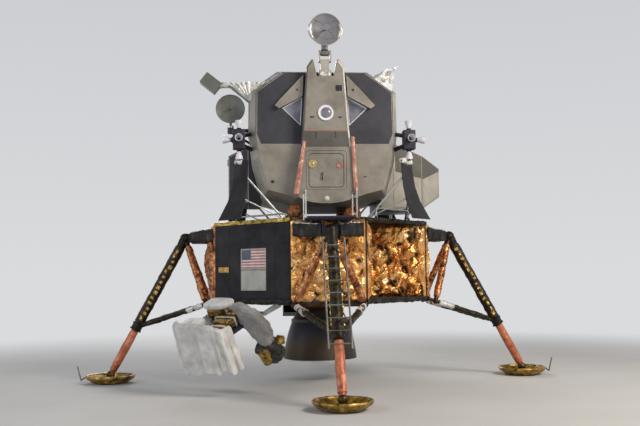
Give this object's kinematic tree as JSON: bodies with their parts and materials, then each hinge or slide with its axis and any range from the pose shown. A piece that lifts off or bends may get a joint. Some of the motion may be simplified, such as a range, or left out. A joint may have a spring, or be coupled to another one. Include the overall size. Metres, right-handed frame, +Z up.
{
  "type": "lunar lander",
  "caption": "Two-stage lunar lander on legs, with a foil-wrapped descent stage, faceted crew cabin, ladder, thrusters, radar, opening hatches and a fold-down equipment pallet.",
  "frame": {"origin": "centre of the four pads, on the ground under the engine", "axes": "+X to the right of a person facing the front hatch, -Y out of the front, +Z up"},
  "size_m": [9.846, 9.42, 7.005],
  "materials": {
    "gold_foil": "crumpled gold film",
    "copper_foil": "crumpled orange film",
    "dark_foil": "dark wrinkled film",
    "black_panel": "matt black",
    "grey_panel": "satin warm grey",
    "dark_panel": "matt dark grey",
    "bright_metal": "satin",
    "strut_black": "matt black wrap with gold patches",
    "marking": "painted plate",
    "glass": "clear",
    "nozzle_metal": "dull heat-stained metal",
    "white_cloth": "quilted white blanket",
    "grey_cloth": "grey pack cloth",
    "white_paint": "satin white"
  },
  "bodies": {
    "lander": {"descent_body": "dark_panel", "descent_base": "dark_foil", "descent_deck": "dark_foil", "front_skin": "gold_foil", "left_skin": "copper_foil", "rear_skins": "gold_foil", "corner_skins": "black_panel", "stowage_bay_lining": "gold_foil", "stowage_bay_frame": "bright_metal", "descent_nozzle": "nozzle_metal", "landing_radar": "dark_foil", "outriggers": "dark_foil", "leg_braces": "copper_foil", "primary_struts": "strut_black", "leg_pistons": "copper_foil", "side_struts": "strut_black", "footpads": "gold_foil", "contact_probes": "bright_metal", "ladder": "bright_metal", "porch_platform": "dark_panel", "porch_handrails": "bright_metal", "plume_deflectors": "black_panel", "deflector_struts": "bright_metal", "marking_plates": "marking", "pallet_arms": "bright_metal", "cabin_shell": "grey_panel", "dark_face": "black_panel", "grey_cheeks": "grey_panel", "nose_column": "grey_panel", "hatch_side_bars": "copper_foil", "tracking_light": "white_paint", "front_windows": "glass", "window_brows": "grey_panel", "cabin_floor": "dark_panel", "instrument_panel": "dark_panel", "docking_tunnel": "bright_metal", "right_tank_cover": "grey_panel", "left_tank_cover": "black_panel", "aft_equipment_bay": "grey_panel", "stage_fittings": "copper_foil", "thruster_blocks": "dark_panel", "thruster_nozzles": "white_paint", "radar_pedestal": "bright_metal", "dish_bracket": "dark_panel", "relay_boom": "bright_metal", "aerials": "white_paint", "docking_target": "white_paint"},
    "front_hatch": {"front_hatch": "grey_panel"},
    "top_hatch": {"top_hatch": "grey_panel"},
    "radar_yoke": {"radar_yoke": "bright_metal"},
    "radar_dish": {"radar_dish": "white_paint"},
    "antenna_mount": {"antenna_mount": "bright_metal"},
    "antenna_dish": {"antenna_dish": "grey_panel"},
    "equipment_pallet": {"pallet_tray": "dark_panel", "pallet_cases": "gold_foil", "pallet_blankets": "white_cloth", "pallet_packs": "grey_cloth", "end_drape": "white_cloth"},
    "science_bay_door": {"science_bay_door": "black_panel"}
  },
  "joints": [
    {"name": "front_hatch_hinge", "type": "hinge", "parent": "lander", "child": "front_hatch", "pos_m": [-0.402, -1.892, 4.06], "axis": [0, 0, 1], "range_deg": [0, 85]},
    {"name": "top_hatch_hinge", "type": "hinge", "parent": "lander", "child": "top_hatch", "pos_m": [0, 0.44, 5.934], "axis": [1, 0, 0], "range_deg": [0, 85]},
    {"name": "radar_nod", "type": "hinge", "parent": "lander", "child": "radar_yoke", "pos_m": [0, -1.85, 6.3], "axis": [1, 0, 0], "range_deg": [-90, 30]},
    {"name": "radar_turn", "type": "hinge", "parent": "radar_yoke", "child": "radar_dish", "pos_m": [0, -1.85, 6.43], "axis": [0, 0, 1], "range_deg": [-60, 60]},
    {"name": "antenna_turn", "type": "hinge", "parent": "lander", "child": "antenna_mount", "pos_m": [-1.79, -1.25, 4.93], "axis": [0, 0, 1], "range_deg": [-80, 80]},
    {"name": "antenna_tilt", "type": "hinge", "parent": "antenna_mount", "child": "antenna_dish", "pos_m": [-1.79, -1.25, 5.32], "axis": [-1, 0, 0], "range_deg": [0, 80]},
    {"name": "pallet_hinge", "type": "hinge", "parent": "lander", "child": "equipment_pallet", "pos_m": [-1.68284, -1.68284, 1.44], "axis": [-0.7071, 0.7071, 0], "range_deg": [0, 115]},
    {"name": "science_door_hinge", "type": "hinge", "parent": "lander", "child": "science_bay_door", "pos_m": [1.39152, 1.39152, 2.882], "axis": [0.7071, -0.7071, 0], "range_deg": [0, 90]}
  ]
}
